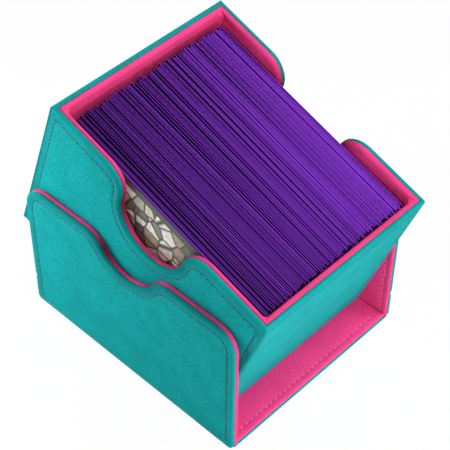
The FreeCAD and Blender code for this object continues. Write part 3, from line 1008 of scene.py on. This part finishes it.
def corner_strip(bm, across, along):
    """Upright strip with a hollow round, in the corner on one side across and one end along the tray."""
    corner = Vector((across * corner_x, along * corner_y, tray_lining_low.z))
    old_verts = set(bm.verts)
    pen = bm.verts.new(corner - Vector((0, along * CORNER_ROUND, 0)))
    centre = corner - Vector((across * CORNER_ROUND, along * CORNER_ROUND, 0))
    axis = (0, 0, across * along)
    bmesh.ops.spin(bm, geom=[pen], cent=centre, axis=axis, angle=math.pi / 2, steps=CORNER_STEPS)
    bm.verts.new(corner)
    face = bm.faces.new([vert for vert in bm.verts if vert not in old_verts])
    height = corner.z
    back = 0.0
    for share, dive in CORNER_RINGS:
        top = tray_lining_high.z - share * RIM_ROLL
        out = roll_back(share * RIM_ROLL) + dive * CORNER_ROUND
        made = bmesh.ops.extrude_face_region(bm, geom=[face, *face.edges])["geom"]
        face = next(item for item in made if isinstance(item, bmesh.types.BMFace))
        lean = Vector((across * (out - back), along * (out - back), top - height))
        bmesh.ops.translate(bm, verts=face.verts, vec=lean)
        height = top
        back = out


corners = bmesh.new()
for across in (-1, 1):
    for along in (-1, 1):
        corner_strip(corners, across, along)
bmesh.ops.recalc_face_normals(corners, faces=corners.faces)
dress(corners, "tray_lining_corners", "tray", [PINK], (), TRAY_PLACE)

# %% [markdown]
# The tray's floor is made like the cover's base: two flat plates, drawn upright and laid down. The deck hides
# it, so neither plate is stitched.

# %% Tray floor
floor_skin_low, floor_skin_high = level_box("tray_floor_skin")
floor_lining_low, floor_lining_high = level_box("tray_floor_lining")
floor_outer = flat_plate(floor_skin_low, floor_skin_high, less=tray_middle)
floor_inner = flat_plate(floor_lining_low, floor_lining_high, less=tray_middle)
floor_skin = floor_skin_high.z - floor_skin_low.z
floor_lining = floor_lining_high.z - floor_lining_low.z
place = TRAY_PLACE @ Matrix.Translation((0, 0, floor_skin_high.z)) @ DOWN
skin = loft_wall(floor_outer, rolled_profile(floor_skin, SKIN_ROLL), pocket=(WRAP, floor_skin - SKIN_SHEET))
lay_cloth(skin, "tray_floor_skin", place)
place = TRAY_PLACE @ Matrix.Translation((0, 0, floor_lining_low.z)) @ UP
lay_cloth(loft_wall(floor_inner, rolled_profile(floor_lining, LINING_ROLL)), "tray_floor_lining", place)

# %% [markdown]
# ## Sleeves
# A card sleeve is two sheets of film welded round the card. Its margin beyond the card is thin, so a row of
# sleeves shows bright ridges with dark gaps between them. One sleeve is modelled from a cube: it is cut where
# the margins start, and the outer loops are squeezed. Copies of it stand in a row, each leaning a little
# differently. The near ones are loose and the far ones pressed together, as after a hand has leafed through,
# and the row fans out a little towards the back. A pair of values below goes from the near to the far side,
# or is the range of a random pick.
# The gaps and ridges are also painted: film margins get painted shade and welds a painted highlight, both
# darker near than far and at the back than at the front.

# %% Sleeve film
GRAIN_PER_METRE = 1500
GRAIN_DEPTH = 0.02 * MM


def sleeve_film():
    """Matte purple film; each sleeve has its own painted light and shade, its margin is painted shade, its
    weld paler, partly painted highlight.
    """
    material, tree, shader = new_material("purple_sleeve", {"Specular IOR Level": 0.08})
    grain = noise(tree, GRAIN_PER_METRE, detail=2.0)
    body = ramp(tree, grain, [(0.3, (0.080, 0.008, 0.230)), (0.7, (0.120, 0.014, 0.320))])
    # Painted shade: the film margin is darkened for the gaps between sleeves; the paler weld is partly
    # painted highlight.
    empty = mix_colour(tree, attribute(tree, "film"), body, (0.045, 0.004, 0.130))
    edged = mix_colour(tree, attribute(tree, "weld"), empty, (0.200, 0.029, 0.525))
    link(tree, brighten(tree, edged, attribute(tree, "shade")), shader.inputs["Base Color"])
    link(tree, spread(tree, grain, 0.55, 0.42), shader.inputs["Roughness"])
    bump(tree, shader, grain, GRAIN_DEPTH, strength=0.4)
    return material


PURPLE = sleeve_film()
print("film:", PURPLE.name)

# %% One sleeve
SLEEVE_BODY = 0.5 * MM
SLEEVE_EDGE = 0.30 * MM
SLEEVE_MARGIN = 2.2 * MM
SLEEVE_WELD = 0.25 * MM

deck_low, deck_high = level_box("sleeved_cards")
sleeve_length = deck_high.y - deck_low.y
sleeve_height = deck_high.z - deck_low.z


def one_sleeve():
    """A sleeve centred on its own origin, thin along X."""
    bm = bmesh.new()
    film = bm.verts.layers.float.new("film")
    weld = bm.verts.layers.float.new("weld")
    bmesh.ops.create_cube(bm, size=1.0)
    bmesh.ops.scale(bm, verts=bm.verts, vec=(SLEEVE_BODY, sleeve_length, sleeve_height))
    for end in (-1, 1):
        for inset in (SLEEVE_WELD, SLEEVE_MARGIN):
            cut_at(bm, (0, end * (sleeve_length / 2 - inset), 0), (0, 1, 0))
            cut_at(bm, (0, 0, end * (sleeve_height / 2 - inset)), (0, 0, 1))
    for vert in bm.verts:
        from_edge = min(sleeve_length / 2 - abs(vert.co.y), sleeve_height / 2 - abs(vert.co.z))
        vert[film] = 1.0 if from_edge < 1.5 * SLEEVE_WELD else 0.0
        vert[weld] = 1.0 if from_edge < 0.5 * SLEEVE_WELD else 0.0
    edge = [vert for vert in bm.verts if vert[film] > 0.5]
    bmesh.ops.scale(bm, verts=edge, vec=(SLEEVE_EDGE / SLEEVE_BODY, 1, 1))
    bmesh.ops.recalc_face_normals(bm, faces=bm.faces)
    return finished_mesh(bm, "one_sleeve")


SLEEVE = one_sleeve()
print(f"sleeve {len(SLEEVE.polygons)} faces, {sleeve_length / MM:.1f} by {sleeve_height / MM:.1f} mm")

# %% Row of sleeves
SLEEVE_COUNT = 99
LEAST_STEP = 0.40 * MM
LEAST_SHARE = 0.04
OPENINGS = 0.27
OPENINGS_NEAR = 1.5
OPEN_STEP = (0.6, 3.2)
SHUT_STEP = (-0.9, 0.1)
BACK_FAN = (1.7, 0.8)
FRONT_FAN = (0.6, 0.12)
PUFFED = (0.6, 1.0)
DECK_SEED = 11


def near_to_far(pair, share):
    """Value at a share of the way from the near to the far side of the deck."""
    near, far = pair
    return near + (far - near) * share


def uneven_steps(count, pick):
    """How far each step between two sleeves differs from an even one; now and then one stands open."""
    steps = []
    for index in range(count):
        opening = pick.random() < OPENINGS * (OPENINGS_NEAR - index / count)
        steps.append(pick.uniform(*(OPEN_STEP if opening else SHUT_STEP)))
    return steps


def row_of_tops(steps, width, fan):
    """Places of the sleeves' upper edges; fan is how uneven their steps are."""
    spare = width - len(steps) * LEAST_STEP
    shares = []
    for index, step in enumerate(steps):
        loose = near_to_far(fan, index / len(steps))
        shares.append(max(LEAST_SHARE, 1 + step * loose))
    places = [0.0]
    for share in shares:
        places.append(places[-1] + LEAST_STEP + spare * share / sum(shares))
    return places


def leaning(bottom, top, height, skew, puff):
    """Shear from a sleeve's lower edge to its upper one; skew fans its ends and puff scales its thickness."""
    matrix = Matrix.Translation(((bottom + top) / 2, 0, 0))
    matrix[0][0] = puff
    matrix[0][2] = (top - bottom) / height
    matrix[0][1] = skew
    return matrix


print(f"{SLEEVE_COUNT} sleeves, at least {LEAST_STEP / MM:.2f} mm apart")

# %% The deck
LEAST_LOOSE = 0.25
LOOSE_SHARE = 0.6
LIFT = 0.4 * MM
SLIP = (-1.4 * MM, 0.2 * MM)
LOOSE_SLIP = 0.3 * MM
# Painted highlight on the welds and painted shade in the film margins, darker near than far and at the back
# than at the front.
GLINT = (0.57, 1.06)
GLINT_SPREAD = (0.8, 1.2)
FRONT_HIGHLIGHT = 1.3
BACK_HIGHLIGHT = 0.92
GAP_SHADE = (0.22, 0.90)
GAP_SHADE_SPREAD = (0.6, 1.4)
FRONT_GAP_SHADE = (1.9, 2.9)
BACK_GAP_SHADE = 0.55


def sleeve_marks(bm):
    """The numbers at each vertex that the film's material reads."""
    return [bm.verts.layers.float.new(mark) for mark in ("shade", "film", "weld")]


def fill_tray():
    """All sleeves behind the front card, as one piece of separate shells."""
    pick = random.Random(DECK_SEED)
    bm = bmesh.new()
    shade, film, weld = sleeve_marks(bm)
    width = deck_high.x - deck_low.x - SLEEVE_BODY
    start = deck_low.x + SLEEVE_BODY / 2
    middle = (deck_low + deck_high) / 2
    steps = uneven_steps(SLEEVE_COUNT - 1, pick)
    back_tops = row_of_tops(steps, width, BACK_FAN)
    front_tops = row_of_tops(steps, width, FRONT_FAN)
    for index, (back, front) in enumerate(zip(back_tops, front_tops)):
        share = index / SLEEVE_COUNT
        loose = max(LEAST_LOOSE, 1 - share / LOOSE_SHARE)
        bottom = width * index / (SLEEVE_COUNT - 1)
        skew = (back - front) / sleeve_length
        lift = pick.uniform(-LIFT, LIFT) * loose
        slip = pick.uniform(*SLIP) - LOOSE_SLIP * loose
        stand = Matrix.Translation((start, middle.y + slip, middle.z + lift))
        lean = leaning(bottom, (back + front) / 2, sleeve_height, skew, near_to_far(PUFFED, share))
        first = len(bm.verts)
        copy_into(bm, SLEEVE, stand @ lean)
        # This sleeve's painted weld highlight and painted gap shade, with a random spread.
        glint = near_to_far(GLINT, share) * pick.uniform(*GLINT_SPREAD)
        depth = near_to_far(GAP_SHADE, share) * pick.uniform(*GAP_SHADE_SPREAD)
        for vert in bm.verts[first:]:
            ahead = vert.co.y < middle.y
            if vert[film] < 0.5:
                vert[shade] = 1.0
            elif vert[weld] > 0.5:
                vert[shade] = glint * (FRONT_HIGHLIGHT if ahead else BACK_HIGHLIGHT)
            else:
                vert[shade] = depth * (near_to_far(FRONT_GAP_SHADE, share) if ahead else BACK_GAP_SHADE)
    return bm


dress(fill_tray(), "purple_sleeves", "deck", [PURPLE], ["sleeved_cards"], FROM_LEVEL)

# %% [markdown]
# ## Front card
# The first card shows its face through the near thumb notch. It sits in the same kind of sleeve, with a clear
# front. Its print is a plain mosaic of pebbles in a dark border: a Voronoi pattern gives each pebble a colour
# and the joints between them. The card has a UV map from edge to edge, which the border follows.

# %% Card print
CARD_BORDER = 3.0 * MM
CARD_MARGIN = 0.5 * MM
CARD_THICKNESS = 0.10 * MM
CARD_CORNER = 2.5 * MM
CARD_EDGE = 0.05 * MM
PEBBLES_PER_METRE = 190
MOTTLE_PER_METRE = 700
PEBBLE_COLOURS = (
    (0.2, (0.13, 0.16, 0.10)),
    (0.35, (0.40, 0.31, 0.22)),
    (0.5, (0.70, 0.62, 0.52)),
    (0.75, (0.86, 0.83, 0.77)),
)


def card_print(width, height):
    """Cream, tan and moss pebbles with dark joints, inside a dark grey border, under clear film."""
    sockets = {"Roughness": 0.4, "Coat Weight": 0.35, "Coat Roughness": 0.2}
    material, tree, shader = new_material("pebble_card", sockets)
    places = add_node(tree, "ShaderNodeUVMap", uv_map="card")
    sized = add_node(tree, "ShaderNodeMapping", {"Scale": (width, height, 1)})
    link(tree, places.outputs["UV"], sized.inputs["Vector"])
    pebbles = {"Scale": PEBBLES_PER_METRE, "Randomness": 0.9}
    cells = add_node(tree, "ShaderNodeTexVoronoi", pebbles)
    joints = add_node(tree, "ShaderNodeTexVoronoi", pebbles, feature="DISTANCE_TO_EDGE")
    for texture in (cells, joints):
        link(tree, sized.outputs["Vector"], texture.inputs["Vector"])
    stones = ramp(tree, cells.outputs["Color"], PEBBLE_COLOURS)
    mottled = brighten(tree, stones, spread(tree, noise(tree, MOTTLE_PER_METRE, detail=4.0), 0.75, 1.2))
    edge = ramp(tree, joints.outputs["Distance"], [(0.03, (0.0, 0.0, 0.0)), (0.10, (1.0, 1.0, 1.0))])
    mosaic = mix_colour(tree, edge, (0.045, 0.05, 0.045), mottled)
    inside = border_mask(tree, places.outputs["UV"], CARD_BORDER / width, CARD_BORDER / height)
    link(tree, mix_colour(tree, inside, (0.060, 0.068, 0.070), mosaic), shader.inputs["Base Color"])
    return material


def border_mask(tree, uv, across, up):
    """1 inside the border of a card whose UV map runs from 0 to 1, and 0 on it."""
    split = add_node(tree, "ShaderNodeSeparateXYZ")
    link(tree, uv, split.inputs["Vector"])
    within = []
    for axis, border in (("X", across), ("Y", up)):
        off_centre = calculate(tree, "SUBTRACT", split.outputs[axis], 0.5)
        away = calculate(tree, "ABSOLUTE", off_centre)
        within.append(calculate(tree, "LESS_THAN", away, 0.5 - border))
    return calculate(tree, "MULTIPLY", *within)


print(f"pebbles about {1 / PEBBLES_PER_METRE / MM:.0f} mm wide")

# %% Front card and its sleeve
# The front sleeve's weld gets a painted highlight and the rest of it painted shade.
FRONT_GLINT = 0.95
FRONT_SHADE = 0.6
card_low, card_high = level_box("front_card")
card_middle = (card_low + card_high) / 2
sleeve = bmesh.new()
shade, _, weld = sleeve_marks(sleeve)
copy_into(sleeve, SLEEVE, Matrix.Translation(card_middle))
for vert in sleeve.verts:
    vert[shade] = FRONT_GLINT if vert[weld] > 0.5 else FRONT_SHADE
dress(sleeve, "front_sleeve", "front_card", [PURPLE], ["front_card"], FROM_LEVEL)

print_width = sleeve_length - 2 * CARD_MARGIN
print_height = sleeve_height - 2 * CARD_MARGIN
card_outline = {"bottom": -print_height / 2, "top": print_height / 2, "side": print_width / 2}
card_outline.update(foot_radius=CARD_CORNER, corner_radius=CARD_CORNER)
card_rings = [(0.0, 0.0, 0.0), (0.0, 0.7 * CARD_THICKNESS, 0.0), (CARD_EDGE, CARD_THICKNESS, 0.0)]
card = loft_wall(card_outline, card_rings)
uv_layer = card.loops.layers.uv.new("card")
for face in card.faces:
    for loop in face.loops:
        loop[uv_layer].uv = (0.5 + loop.vert.co.y / print_width, 0.5 + loop.vert.co.z / print_height)
stand = Matrix.Translation((card_middle.x - SLEEVE_BODY / 2, card_middle.y, card_middle.z))
place = FROM_LEVEL @ stand @ Matrix.Rotation(math.pi, 4, "Z")
printed = card_print(print_width, print_height)
dress(card, "front_card_print", "front_card", [printed], (), place)

# %% [markdown]
# ## What stays inside
# The boards and the disc magnets are right as the CAD model has them, and they hide in the skins' pockets.
# They only need a finish: pressed grey fibres for the board, a drawn nickel plating for the magnets.

# %% Boards and magnets
FIBRES_PER_METRE = 900
FIBRE_DEPTH = 0.1 * MM
DRAWN_PER_METRE = 1200


def greyboard():
    """Grey board of pressed fibres."""
    material, tree, shader = new_material("pressed_greyboard")
    fibres = noise(tree, FIBRES_PER_METRE, detail=4.0, roughness=0.7)
    colour = ramp(tree, fibres, [(0.3, (0.27, 0.25, 0.22)), (0.7, (0.46, 0.44, 0.40))])
    link(tree, colour, shader.inputs["Base Color"])
    link(tree, spread(tree, fibres, 0.95, 0.85), shader.inputs["Roughness"])
    bump(tree, shader, fibres, FIBRE_DEPTH, strength=0.5)
    return material


def magnet_plating():
    """Nickel with fine marks."""
    material, tree, shader = new_material("magnet_plating", {"Metallic": 1.0})
    drawn = noise(tree, DRAWN_PER_METRE, detail=3.0)
    colour = ramp(tree, drawn, [(0.3, (0.50, 0.50, 0.52)), (0.7, (0.66, 0.66, 0.67))])
    link(tree, colour, shader.inputs["Base Color"])
    link(tree, spread(tree, drawn, 0.38, 0.24), shader.inputs["Roughness"])
    return material


BOARD = greyboard()
PLATING = magnet_plating()
for node, piece in frame["nodes"].items():
    if node.endswith("_board") or node.endswith("_magnets"):
        piece.data.materials.clear()
        piece.data.materials.append(BOARD if node.endswith("_board") else PLATING)
print("boards:", sum(node.endswith("_board") for node in frame["nodes"]))
